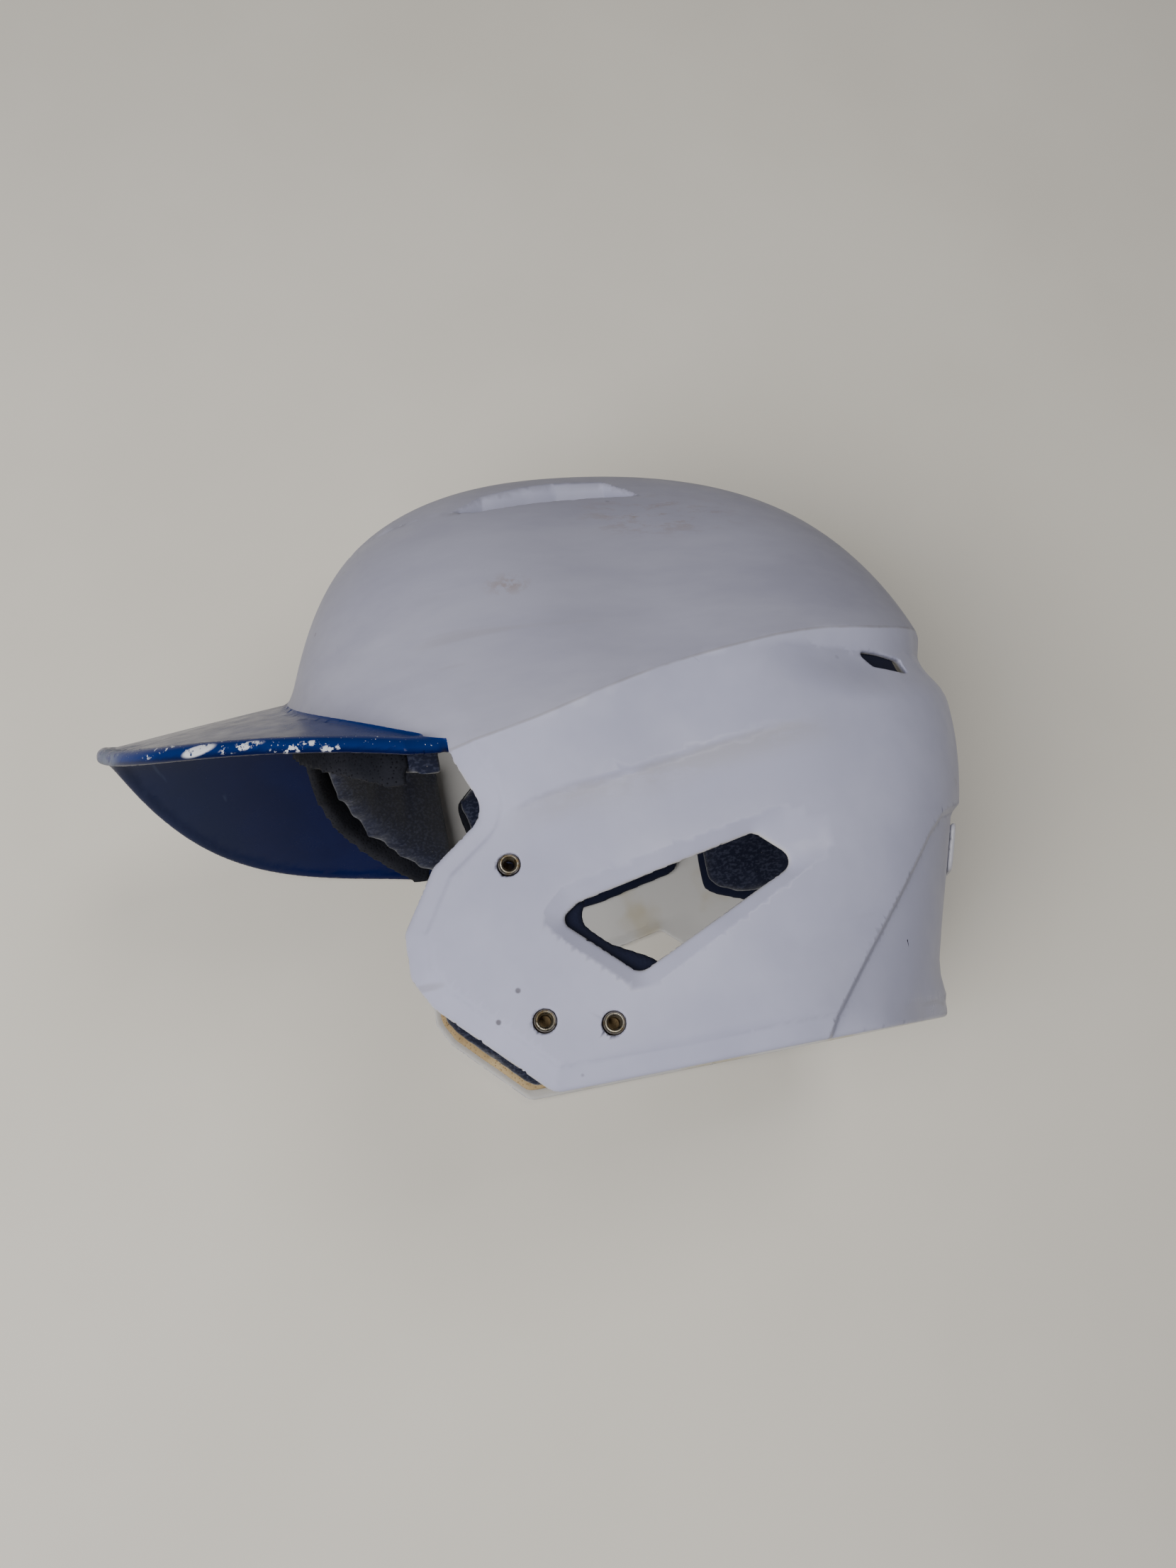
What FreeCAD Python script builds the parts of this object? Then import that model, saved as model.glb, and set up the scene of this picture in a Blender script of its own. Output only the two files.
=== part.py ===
import FreeCAD, Part
import math
import os
import Sketcher

# Batting helmet, resting on its lower rim. Millimetres.
# +X is the wearer's left, -Y is forward (the visor), +Z is up. The XZ side of the frame is the helmet's
# plane of symmetry at X = 0, and the lower rim stands on Z = 0.
#
# The shell's outside is the "head form": its profile curve in the plane of symmetry, shrunk towards the
# line between the two ears by a superellipse as |X| grows. A form with an inset is the same shape moved
# inwards by that much, so walls and pads are the space between two forms.

V = FreeCAD.Vector
doc = FreeCAD.newDocument("BattingHelmet")

DIMENSIONS = {
    # head form
    "half_width": 98.0,
    "centre_y": 27.0,
    "centre_z": 45.0,
    "wall": 3.0,
    "panel_step": 2.5,
    # visor
    "visor_tip_y": -149.2,
    "visor_side_y": -43.0,
    "visor_end_y": -32.0,
    "visor_half_width": 94.5,
    "visor_side_power": 1.7,
    "visor_front_power": 3.2,
    "visor_thickness": 4.0,
    "visor_tip_z": 145.0,
    "visor_slope": 0.11,
    "visor_arch": 40.0,
    "arch_crown": 15.0,
    # holes
    "ear_corner": 3.5,
    "ear_frame_depth": 1.2,
    "vent_corner": 1.5,
    # T-nuts
    "nut_bore": 1.7,
    "nut_barrel": 3.0,
    "nut_flange": 6.0,
    "nut_flange_thick": 1.0,
    "nut_barrel_long": 5.6,
    "nut_hole": 3.15,
    # liner
    "pad_gap": 0.3,
    "flange_room": 2.0,
    "base_thick": 4.0,
    "comfort_thick": 9.0,
    "pad_corner": 6.0,
    # rear badge
    "badge_half_width": 48.0,
    "badge_low": 45.0,
    "badge_high": 61.0,
    "badge_thick": 1.8,
}
# Distance of the profile from the ear line every 30 degrees, from straight down, by the back, over the
# top, to the front. The part below the rim and in front of the face is only there to close the form.
PROFILE_RADII = [160, 132, 104, 105, 140, 170, 176, 168, 139, 154, 166, 166]
# How square the head is across, in the same twelve directions: 2 is an ellipse, more is fuller.
FULLNESS = [2.6, 2.5, 2.3, 2.6, 2.4, 2.15, 2.15, 2.9, 2.3, 2.4, 2.6, 2.6]
# Places of the sections across the helmet, as parts of the half width. The last is the edge of the small
# flat cap that the ear hole takes away.
SECTIONS = [0, 0.25, 0.45, 0.62, 0.76, 0.87, 0.94, 0.98, 0.998]
# Where the visor's arch is drawn, from in front of the tip to behind its rear corners, and its extra
# depth there: the arch deepens where it runs back along the temples.
ARCH_STATIONS = [(-160, 0), (-125, 0), (-95, 1), (-65, 9), (-29, 20)]
ARCH_REACH = 101
# Places of the T-nuts in the side view, (y, z).
T_NUTS = {"front": (-20, 63), "low": (-18, 19), "rear": (0, 15)}
# Reaches that are past the helmet: to each side, and every way.
WIDE = 130
FAR = 260

# Outlines of the shell's holes and steps in the side view, (y, z).
EAR_HOLE = [(50, 60), (61, 50), (10, 27), (-9, 45), (-3, 49)]
EAR_FRAME = [(60, 66), (77, 54), (9, 21), (-16, 46), (-7, 54)]
REAR_CHANNEL = [(145, 70), (117, 60), (109, 54), (88, 32), (63, 6), (50, -15), (155, -15)]
LEDGE_SCOOP = [(66, 119.5), (96, 122.5), (122, 124.5), (137, 129), (165, 129), (165, 112), (113, 101)]
TOP_SCOOP = [(-16, 188), (-5, 196), (10, 201), (39, 202), (48, 190), (15, 188.5), (-9, 185.5)]
REAR_VENT = [(101, 116), (106, 110), (120, 108), (119, 114), (110, 115.5)]
TOP_SLIT = [(15, 190.2), (17, 193.5), (36, 194), (37, 191)]
FACE = [(-31, 98), (-24, 80), (-41, 68), (-52, 50), (-52, 37), (-47, 28), (-17, -2),
        (-17, -40), (-195, -40), (-195, 180), (-31, 180)]
# Outlines of the pads in the side view, (y, z).
JAW = [(-49.5, 51), (-49.5, 38), (-45, 29.5), (-18.5, 3.5), (21, 3.5), (23, 24), (15, 31),
       (4, 37), (-3, 44), (1, 53), (-13, 62), (-25, 68), (-39, 62)]
TEMPLE = [(-23, 100), (-29, 128), (-3, 152), (39, 152), (63, 132), (63, 84), (25, 76), (-9, 72)]
REAR_SIDE = [(71, 132), (71, 74), (75, 70.5), (89, 64), (107, 66), (123, 90), (117, 118), (101, 134)]
NAPE = [(65, 62), (65, 24), (75, 14), (155, 14), (155, 62)]

sheet = doc.addObject("Spreadsheet::Sheet", "Dimensions")
for row, (alias, value) in enumerate(DIMENSIONS.items(), start=1):
    sheet.set(f"A{row}", alias)
    sheet.set(f"B{row}", str(value))
    sheet.setAlias(f"B{row}", alias)
doc.recompute()
wall = sheet.wall
step = sheet.panel_step
forms = {}


def feature(name, shape):
    """A document object that holds a shape made with Part's own functions."""
    thing = doc.addObject("Part::Feature", name)
    thing.Shape = shape
    return thing


def head_form(name, inset):
    """The solid head form, moved inwards by inset."""
    wires = []
    for part in [-place for place in SECTIONS[:0:-1]] + SECTIONS:
        x = part * (sheet.half_width - inset)
        points = []
        for step, (radius, power) in enumerate(zip(PROFILE_RADII, FULLNESS)):
            angle = math.radians(30 * step - 90)
            reach = (radius - inset) * (1 - abs(part) ** power) ** (1 / power)
            y = sheet.centre_y + reach * math.cos(angle)
            z = sheet.centre_z + reach * math.sin(angle)
            points.append(V(x, y, z))
        section = Part.BSplineCurve()
        section.interpolate(Points=points, PeriodicFlag=True, Parameters=range(len(points) + 1))
        wires.append(Part.Wire([section.toShape()]))
    return feature(name, Part.makeLoft(wires, True, False))


def visor_top(x, y, extra):
    """Height of the visor's top surface: a hyperbola across, a gentle fall towards the tip."""
    ridge = sheet.visor_tip_z + sheet.visor_slope * (y - sheet.visor_tip_y)
    crown = sheet.arch_crown
    side = math.hypot(sheet.visor_half_width, crown) - crown
    return ridge - (sheet.visor_arch + extra) * (math.hypot(x, crown) - crown) / side


def arch_layer(name, above, below):
    """The layer that follows the visor's arch, from above its top surface to below it."""
    wires = []
    for y, extra in ARCH_STATIONS:
        edges = []
        corners = []
        for shift in (above, -below):
            line = []
            for step in range(-10, 11):
                x = ARCH_REACH * step / 10
                line.append(V(x, y, visor_top(x, y, extra) + shift))
            curve = Part.BSplineCurve()
            curve.interpolate(Points=line)
            edges.append(curve.toShape())
            corners.append((line[0], line[-1]))
        left = Part.makeLine(corners[0][0], corners[1][0])
        right = Part.makeLine(corners[0][1], corners[1][1])
        wires.append(Part.Wire([edges[0], right, edges[1], left]))
    return feature(name, Part.makeLoft(wires, True, False))


def grown(outline, amount):
    """The polygon with every side moved outwards by amount."""
    area = 0
    count = len(outline)
    for i in range(count):
        (u0, v0), (u1, v1) = outline[i], outline[(i + 1) % count]
        area += u0 * v1 - u1 * v0
    turn = math.copysign(1, area)
    result = []
    for i in range(count):
        here = V(*outline[i], 0)
        back = (here - V(*outline[i - 1], 0)).normalize()
        ahead = (V(*outline[(i + 1) % count], 0) - here).normalize()
        normal = (V(back.y, -back.x, 0) + V(ahead.y, -ahead.x, 0)).normalize() * turn
        reach = amount / (normal.x * back.y - normal.y * back.x) * turn
        result.append((here.x + normal.x * reach, here.y + normal.y * reach))
    return result


def outline_sketch(name, outline, corner):
    """A sketch on the side plane (sketch u is Y, v is Z) with every corner rounded to the radius."""
    sketch = doc.addObject("Sketcher::SketchObject", name)
    sketch.Placement = FreeCAD.Placement(V(0, 0, 0), FreeCAD.Rotation(V(1, 1, 1), 120))
    count = len(outline)
    entries = []
    for i in range(count):
        here = V(*outline[i], 0)
        to_last = V(*outline[i - 1], 0) - here
        to_next = V(*outline[(i + 1) % count], 0) - here
        half = to_last.getAngle(to_next) / 2
        reach = min(corner / math.tan(half), 0.45 * to_last.Length, 0.45 * to_next.Length)
        start = here + to_last.normalize() * reach
        end = here + to_next.normalize() * reach
        bisector = (to_last + to_next).normalize()
        middle = here + bisector * reach * (1 / math.cos(half) - math.tan(half))
        entries.append((start, middle, end))
    for i in range(count):
        start, middle, end = entries[i]
        sketch.addGeometry(Part.Arc(start, middle, end), False)
        sketch.addGeometry(Part.LineSegment(end, entries[(i + 1) % count][0]), False)
    return sketch


def side_prism(name, outline, corner, low_x=-WIDE, high_x=WIDE):
    """The outline of the side view, extruded from low_x to high_x."""
    prism = doc.addObject("Part::Extrusion", name)
    prism.Base = outline_sketch(name + "_outline", outline, corner)
    prism.DirMode = "Normal"
    prism.LengthFwd = high_x
    prism.LengthRev = -low_x
    prism.Solid = True
    return prism


def box(name, low, high):
    """A block between two corners."""
    block = doc.addObject("Part::Box", name)
    block.Length, block.Width, block.Height = (b - a for a, b in zip(low, high))
    block.Placement.Base = V(*low)
    return block


def cut(name, base, tool):
    """base with tool taken away."""
    result = doc.addObject("Part::Cut", name)
    result.Base = base
    result.Tool = tool
    return result


def common(name, *shapes):
    """What all the shapes share."""
    result = doc.addObject("Part::MultiCommon", name)
    result.Shapes = list(shapes)
    return result


def fuse(name, *shapes):
    """All the shapes joined."""
    result = doc.addObject("Part::MultiFuse", name)
    result.Shapes = list(shapes)
    return result


def chain(name, base, tools):
    """base with every tool taken away, one after another."""
    for count, tool in enumerate(tools, start=1):
        base = cut(f"{name}_{count}", base, tool)
    return base


def form(inset):
    """The head form with this inset, made once."""
    if inset not in forms:
        forms[inset] = head_form(f"form_{len(forms)}", inset)
    return forms[inset]


def layer(name, outer, inner, limit):
    """The part of limit that lies between the forms with two insets."""
    return cut(name, common(name + "_filled", limit, form(outer)), form(inner))


def surface_x(y, z, inset):
    """Where the form with this inset meets the line through (y, z) across the helmet."""
    line = Part.makeLine(V(0, y, z), V(WIDE, y, z))
    return max(vertex.Point.x for vertex in form(inset).Shape.common(line).Vertexes)


def visor():
    """The visor plate: the arch layer inside the visor's plan outline."""
    reach = sheet.visor_side_y - sheet.visor_tip_y
    points = []
    for degrees in range(0, 181, 10):
        angle = math.radians(degrees)
        across = math.copysign(abs(math.cos(angle)) ** (2 / sheet.visor_side_power), math.cos(angle))
        ahead = abs(math.sin(angle)) ** (2 / sheet.visor_front_power)
        x = sheet.visor_half_width * across
        y = sheet.visor_side_y - reach * ahead
        points.append(V(x, y, 0))
    front = Part.BSplineCurve()
    front.interpolate(Points=points)
    corner = V(sheet.visor_half_width - 4, sheet.visor_end_y, 0)
    mirror = V(-corner.x, corner.y, 0)
    sides = Part.makePolygon([points[-1], mirror, corner, points[0]])
    outline = Part.Face(Part.Wire([front.toShape()] + sides.Edges))
    plan = feature("visor_plan", outline.extrude(V(0, 0, FAR)))
    return common("visor_plate", arch_layer("visor_arch", 0, sheet.visor_thickness), plan)


def shell():
    """The moulding: head form and visor, hollowed, with stepped scoops and every hole cut through it."""
    solid = fuse("solid_head", form(0), visor())
    scoops = {"rear_channel": REAR_CHANNEL, "ledge_scoop": LEDGE_SCOOP, "top_scoop": TOP_SCOOP}
    air = []
    inside = form(wall)
    for name, outline in scoops.items():
        air.append(cut(f"{name}_air", side_prism(name, outline, 2), form(step)))
        inside = cut(f"{name}_inside", inside, side_prism(f"{name}_lining", grown(outline, 3), 2))
    air += [inside, form(step + wall)]
    air.append(cut("ear_frame_air", side_prism("ear_frame", EAR_FRAME, 6), form(sheet.ear_frame_depth)))
    air.append(side_prism("ear_hole", EAR_HOLE, sheet.ear_corner))
    for side, low, high in (("left", 52, WIDE), ("right", -WIDE, -52)):
        air.append(side_prism(f"rear_vent_{side}", REAR_VENT, sheet.vent_corner, low, high))
    air.append(side_prism("top_slits", TOP_SLIT, 1))
    under_visor = arch_layer("under_arch", -sheet.visor_thickness - 0.6, FAR)
    air.append(common("face_opening", under_visor, side_prism("face", FACE, 7)))
    air.append(box("below_rim", (-FAR, -FAR, -FAR), (FAR, FAR, 0)))
    for place, (y, z) in T_NUTS.items():
        hole = doc.addObject("Part::Cylinder", f"nut_hole_{place}")
        hole.setExpression("Radius", "Dimensions.nut_hole")
        hole.Height = 2 * WIDE
        hole.Placement = FreeCAD.Placement(V(-WIDE, y, z), FreeCAD.Rotation(V(0, 1, 0), 90))
        air.append(hole)
    result = chain("moulding", solid, air)
    result.Label = "shell"
    return result


def t_nut(side, place, y, z):
    """A T-nut: a round flange against the inside of the wall and a bored barrel through it."""
    body = doc.addObject("PartDesign::Body", f"t_nut_{side}_{place}")
    sketch = body.newObject("Sketcher::SketchObject", f"t_nut_{side}_{place}_section")
    plane = [item for item in body.Origin.OriginFeatures if item.Role == "XZ_Plane"][0]
    sketch.AttachmentSupport = [(plane, "")]
    sketch.MapMode = "FlatFace"
    bore, barrel, flange = sheet.nut_bore, sheet.nut_barrel, sheet.nut_flange
    thick, length = sheet.nut_flange_thick, sheet.nut_barrel_long
    corners = [(0, bore), (0, flange), (thick, flange), (thick, barrel), (length, barrel), (length, bore)]
    for i, (u, v) in enumerate(corners):
        u2, v2 = corners[(i + 1) % len(corners)]
        sketch.addGeometry(Part.LineSegment(V(u, v, 0), V(u2, v2, 0)), False)
    for i in range(len(corners)):
        sketch.addConstraint(Sketcher.Constraint("Coincident", i, 2, (i + 1) % len(corners), 1))
    for i in (0, 2, 4):
        sketch.addConstraint(Sketcher.Constraint("Vertical", i))
    for i in (1, 3, 5):
        sketch.addConstraint(Sketcher.Constraint("Horizontal", i))
    measures = [
        ("DistanceY", 0, 1, "nut_bore", bore),
        ("DistanceY", 1, 1, "nut_flange", flange),
        ("DistanceY", 3, 1, "nut_barrel", barrel),
    ]
    for kind, line, end, alias, value in measures:
        index = sketch.addConstraint(Sketcher.Constraint(kind, -1, 1, line, end, value))
        sketch.setExpression(f"Constraints[{index}]", f"Dimensions.{alias}")
    sketch.addConstraint(Sketcher.Constraint("PointOnObject", 0, 1, -2))
    for line, end, alias, value in ((1, 2, "nut_flange_thick", thick), (4, 1, "nut_barrel_long", length)):
        index = sketch.addConstraint(Sketcher.Constraint("DistanceX", -1, 1, line, end, value))
        sketch.setExpression(f"Constraints[{index}]", f"Dimensions.{alias}")
    turned = body.newObject("PartDesign::Revolution", f"t_nut_{side}_{place}_turned")
    turned.Profile = sketch
    turned.ReferenceAxis = (sketch, ["H_Axis"])
    turned.Angle = 360
    x = surface_x(y, z, wall) - sheet.nut_flange_thick - 0.9
    sign, turn = (1, 0) if side == "left" else (-1, 180)
    body.Placement = FreeCAD.Placement(V(sign * x, y, z), FreeCAD.Rotation(V(0, 0, 1), turn))
    return body


def pad(name, start, limit):
    """A liner pad from inset start: a firm base layer and, 0.2 mm further in, the comfort layer."""
    middle = start + sheet.base_thick
    base = layer(f"{name}_base", start, middle, limit)
    comfort = layer(f"{name}_pad", middle + 0.2, middle + sheet.comfort_thick, limit)
    return [base, comfort]


def mirrored(piece, name):
    """The same piece on the other side of the helmet."""
    result = doc.addObject("Part::Mirroring", name)
    result.Source = piece
    result.Normal = V(1, 0, 0)
    return result


def liner():
    """Every pad, in pairs where the helmet has a left and a right one."""
    near = wall + sheet.pad_gap
    stepped = near + step
    corner = sheet.pad_corner
    brow_width = box("brow_width", (-76, -FAR, 0), (76, -32, FAR))
    brow_band = common("brow_band", arch_layer("brow_arch", 26, 19), brow_width)
    nape_width = box("nape_width", (-42, 65, 0), (42, FAR, FAR))
    nape_room = common("nape_room", side_prism("nape_side", NAPE, 3), nape_width)
    result = pad("brow", near, brow_band)
    result += pad("crown", near, box("crown_room", (-34, -33, 150), (34, 83, FAR)))
    result += pad("nape", stepped, nape_room)
    left = pad("temple_left", near, side_prism("temple_side", TEMPLE, corner, 58))
    left += pad("rear_left", stepped, side_prism("rear_side", REAR_SIDE, 3, 48))
    over_flanges = near + sheet.flange_room
    left += pad("jaw_left", over_flanges, side_prism("jaw_side", JAW, 4, 60))
    for piece in left:
        result += [piece, mirrored(piece, piece.Label.replace("left", "right"))]
    return result


def rear_badge():
    """The blank plate in the rear channel."""
    limit = box(
        "badge_room",
        (-sheet.badge_half_width, 65, sheet.badge_low),
        (sheet.badge_half_width, FAR, sheet.badge_high),
    )
    return layer("rear_badge", step - sheet.badge_thick, step - 0.05, limit)


pieces = [shell(), rear_badge()]
for side in ("left", "right"):
    for place, (y, z) in T_NUTS.items():
        pieces.append(t_nut(side, place, y, z))
pieces += liner()
doc.recompute()

for thing in doc.Objects:
    if "Invalid" in thing.State or "Error" in thing.State:
        raise RuntimeError(f"{thing.Label} failed: {thing.State}")
os.makedirs("parts", exist_ok=True)
for piece in pieces:
    shape = piece.Shape
    if shape.isNull() or not shape.isValid() or shape.Volume <= 0:
        raise RuntimeError(f"{piece.Label} has no valid solid")
    shape.exportStep(f"parts/{piece.Label}.step")
    print(piece.Label, len(shape.Solids), round(shape.Volume), shape.BoundBox)
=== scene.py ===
import math

import bpy
import numpy as np
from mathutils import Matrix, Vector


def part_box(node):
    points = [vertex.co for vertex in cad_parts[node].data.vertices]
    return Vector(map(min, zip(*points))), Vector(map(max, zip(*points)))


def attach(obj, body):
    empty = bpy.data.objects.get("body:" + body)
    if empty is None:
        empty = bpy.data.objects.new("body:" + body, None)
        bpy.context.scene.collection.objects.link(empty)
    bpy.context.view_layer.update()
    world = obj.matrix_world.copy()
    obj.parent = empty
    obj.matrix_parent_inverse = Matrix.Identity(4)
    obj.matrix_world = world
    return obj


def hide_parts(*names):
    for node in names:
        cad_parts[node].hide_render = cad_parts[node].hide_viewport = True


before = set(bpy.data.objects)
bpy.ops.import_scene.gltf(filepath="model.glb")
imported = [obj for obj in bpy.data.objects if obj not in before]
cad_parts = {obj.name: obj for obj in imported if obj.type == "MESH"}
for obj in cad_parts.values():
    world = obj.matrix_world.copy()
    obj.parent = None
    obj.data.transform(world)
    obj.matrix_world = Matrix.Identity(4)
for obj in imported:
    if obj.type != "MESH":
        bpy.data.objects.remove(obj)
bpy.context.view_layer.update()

import openvdb
from mathutils import Matrix, Vector

# Batting helmet. Shapes are worked out in millimetres, in the CAD's own frame: +X the wearer's left, -Y
# forward, +Z up. The shell is one distance field (head form, visor, steps, holes) turned into a mesh, so
# that every edge and fillet is moulded in one skin. The pads swell by cloth simulation.

MM = 0.001
VOXEL = 0.85

# Head form, as in the CAD model
HALF_WIDTH, CENTRE_Y, CENTRE_Z = 98.0, 27.0, 45.0
WALL, STEP = 3.0, 2.5
PROFILE_RADII = [160, 132, 104, 105, 140, 170, 176, 168, 139, 154, 166, 166]
FULLNESS = [2.6, 2.5, 2.3, 2.6, 2.4, 2.15, 2.15, 2.9, 2.3, 2.4, 2.6, 2.6]
# Visor
VISOR_TIP_Y, VISOR_SIDE_Y, VISOR_HALF, SIDE_POWER, FRONT_POWER = -149.2, -43.0, 94.5, 1.7, 3.2
VISOR_TIP_Z, VISOR_SLOPE, VISOR_ARCH, ARCH_CROWN = 145.0, 0.11, 40.0, 15.0
VISOR_THICK, BEAD, BEAD_PROUD = 3.4, 2.4, 0.7
# Outlines in the side view, (y, z)
EAR_HOLE = [(50, 60), (61, 50), (10, 27), (-9, 45), (-3, 49)]
EAR_FRAME = [(60, 66), (77, 54), (9, 21), (-16, 46), (-7, 54)]
REAR_CHANNEL = [(145, 70), (117, 60), (109, 54), (88, 32), (63, 6), (50, -15), (170, -15), (170, 70)]
REAR_VENT = [(101, 116), (106, 110), (120, 108), (119, 114), (110, 115.5)]
TOP_SLIT = [(15, 190.2), (17, 193.5), (36, 194), (37, 191)]
SCOOP_TOP = [(-16, 188), (-6, 195), (9, 200), (20, 202), (38, 201.5), (48, 190)]
SCOOP_LOW = [(-16, 187.5), (-9, 185.8), (1, 187), (15, 188.7), (32, 190), (48, 190)]
DOME_EDGE = [(-31, 100), (-18, 101.5), (-4, 104), (27, 113), (45, 117), (65, 120),
             (80, 122), (94, 123), (106, 123.5), (122, 125.5), (137, 130)]
FACE = [(-31, 98), (-24, 80), (-41, 68), (-52, 50), (-52, 37), (-47, 28), (-17, -2),
        (-17, -40), (-195, -40), (-195, 180), (-31, 180)]
CREASE = [(-18, 78), (-5, 81), (14, 83), (33, 86), (53, 89), (68, 91), (82, 92)]
T_NUTS = {"front": (-20, 63), "low": (-18, 19), "rear": (0, 15)}
# Camera: its own axes before they are squared up, its place in metres and its lens in millimetres
CAMERA_RIGHT, CAMERA_UP = (0.083, 0.9782, -0.1902), (0.268, 0.1619, 0.9497)
CAMERA_PLACE, CAMERA_LENS = (0.4157, -0.0374, -0.0014), 27.08
# Room and table. Each lamp: metres from the helmet along the camera's back, up and right, then size, power
# and colour. The first one gives no highlights.
TABLE_X, ROOM_COLOUR, ROOM_STRENGTH = -0.0985, (0.93, 0.95, 1.0, 1), 0.15
LAMPS = [
    ((1.15, -0.15, -0.5), 0.9, 19, (1.0, 0.99, 0.97)),
    ((1.3, 0.8, 0.5), 0.5, 6, (1.0, 0.98, 0.94)),
]
# Colours of the moulding, as linear red, green and blue: the lightest and darkest of each patch
PANEL_WHITE = ((0.370, 0.375, 0.500), (0.420, 0.425, 0.555))
DOME_GREY = ((0.268, 0.267, 0.345), (0.328, 0.327, 0.410))
# Chips in the visor's paint: centre and half sizes in metres, and how much of each is bare (less is more)
CHIPS = [
    ((0.086, -0.101, 0.1125), (0.005, 0.0068, 0.0019), 0.40),
    ((0.078, -0.115, 0.117), (0.007, 0.009, 0.0016), 0.56),
    ((0.090, -0.088, 0.110), (0.004, 0.008, 0.0016), 0.52),
    ((0.0935, -0.073, 0.1065), (0.004, 0.010, 0.0017), 0.54),
    ((0.0935, -0.063, 0.1045), (0.004, 0.004, 0.0012), 0.50),
]
WORN_TIP = ((0.052, -0.137, 0.128), (0.030, 0.014, 0.012))


def natural_spline(points):
    """A smooth line through points as a function, straight beyond its ends."""
    knots, values = np.array(points, float).T
    count = len(knots)
    gaps = np.diff(knots)
    system = np.eye(count)
    target = np.zeros(count)
    for i in range(1, count - 1):
        system[i, i - 1:i + 2] = gaps[i - 1], 2 * (gaps[i - 1] + gaps[i]), gaps[i]
        target[i] = 6 * ((values[i + 1] - values[i]) / gaps[i] - (values[i] - values[i - 1]) / gaps[i - 1])
    bend = np.linalg.solve(system, target)

    def line(at):
        i = np.clip(np.searchsorted(knots, at) - 1, 0, count - 2)
        gap = gaps[i]
        u = (np.clip(at, knots[0], knots[-1]) - knots[i]) / gap
        w = 1 - u
        curved = ((w**3 - w) * bend[i] + (u**3 - u) * bend[i + 1]) * gap * gap / 6
        return w * values[i] + u * values[i + 1] + curved

    return line


def closed_spline(values):
    """A smooth closed curve through evenly spaced values: its value and slope per step."""
    values = np.array(values, float)
    count = len(values)
    system = 4 * np.eye(count) + np.roll(np.eye(count), 1, 0) + np.roll(np.eye(count), -1, 0)
    bend = np.linalg.solve(system, 6 * (np.roll(values, 1) - 2 * values + np.roll(values, -1)))

    def curve(at):
        at = np.mod(at, count)
        i = np.minimum(at.astype(int), count - 1)
        j = (i + 1) % count
        u = at - i
        w = 1 - u
        value = w * values[i] + u * values[j] + ((w**3 - w) * bend[i] + (u**3 - u) * bend[j]) / 6
        slope = values[j] - values[i] + ((1 - 3 * w * w) * bend[i] + (3 * u * u - 1) * bend[j]) / 6
        return value, slope

    return curve


def profile():
    """The CAD profile (a closed spline through its twelve points) as a radius every five degrees."""
    angles = np.radians(30 * np.arange(12) - 90)
    along_y = closed_spline(PROFILE_RADII * np.cos(angles))
    along_z = closed_spline(PROFILE_RADII * np.sin(angles))
    at = np.linspace(0, 12, 2881)
    y, z = along_y(at)[0], along_z(at)[0]
    turn = np.unwrap(np.arctan2(z, y))
    wanted = np.radians(5 * np.arange(72) - 90)
    reach = np.interp(wanted, turn, np.hypot(y, z))
    return closed_spline(reach)


RADIUS = profile()
POWER = closed_spline(FULLNESS)


def rounded(outline, corner):
    """The outline with every corner turned into a short arc."""
    points = []
    count = len(outline)
    for i in range(count):
        here = np.array(outline[i], float)
        back = np.array(outline[i - 1], float) - here
        ahead = np.array(outline[(i + 1) % count], float) - here
        back_long, ahead_long = np.hypot(*back), np.hypot(*ahead)
        back, ahead = back / back_long, ahead / ahead_long
        half = math.acos(max(-1, min(1, float(back @ ahead)))) / 2
        if half > 1.55:
            points.append(here)
            continue
        reach = min(corner / math.tan(half), 0.45 * back_long, 0.45 * ahead_long)
        radius = reach * math.tan(half)
        bisector = (back + ahead) / np.hypot(*(back + ahead))
        centre = here + bisector * radius / math.sin(half)
        start, end = here + back * reach - centre, here + ahead * reach - centre
        sweep = math.atan2(start[0] * end[1] - start[1] * end[0], start @ end)
        for step in range(7):
            turn = sweep * step / 6
            cos, sin = math.cos(turn), math.sin(turn)
            along_y = start[0] * cos - start[1] * sin
            along_z = start[0] * sin + start[1] * cos
            points.append(centre + np.array([along_y, along_z]))
    return points


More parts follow.
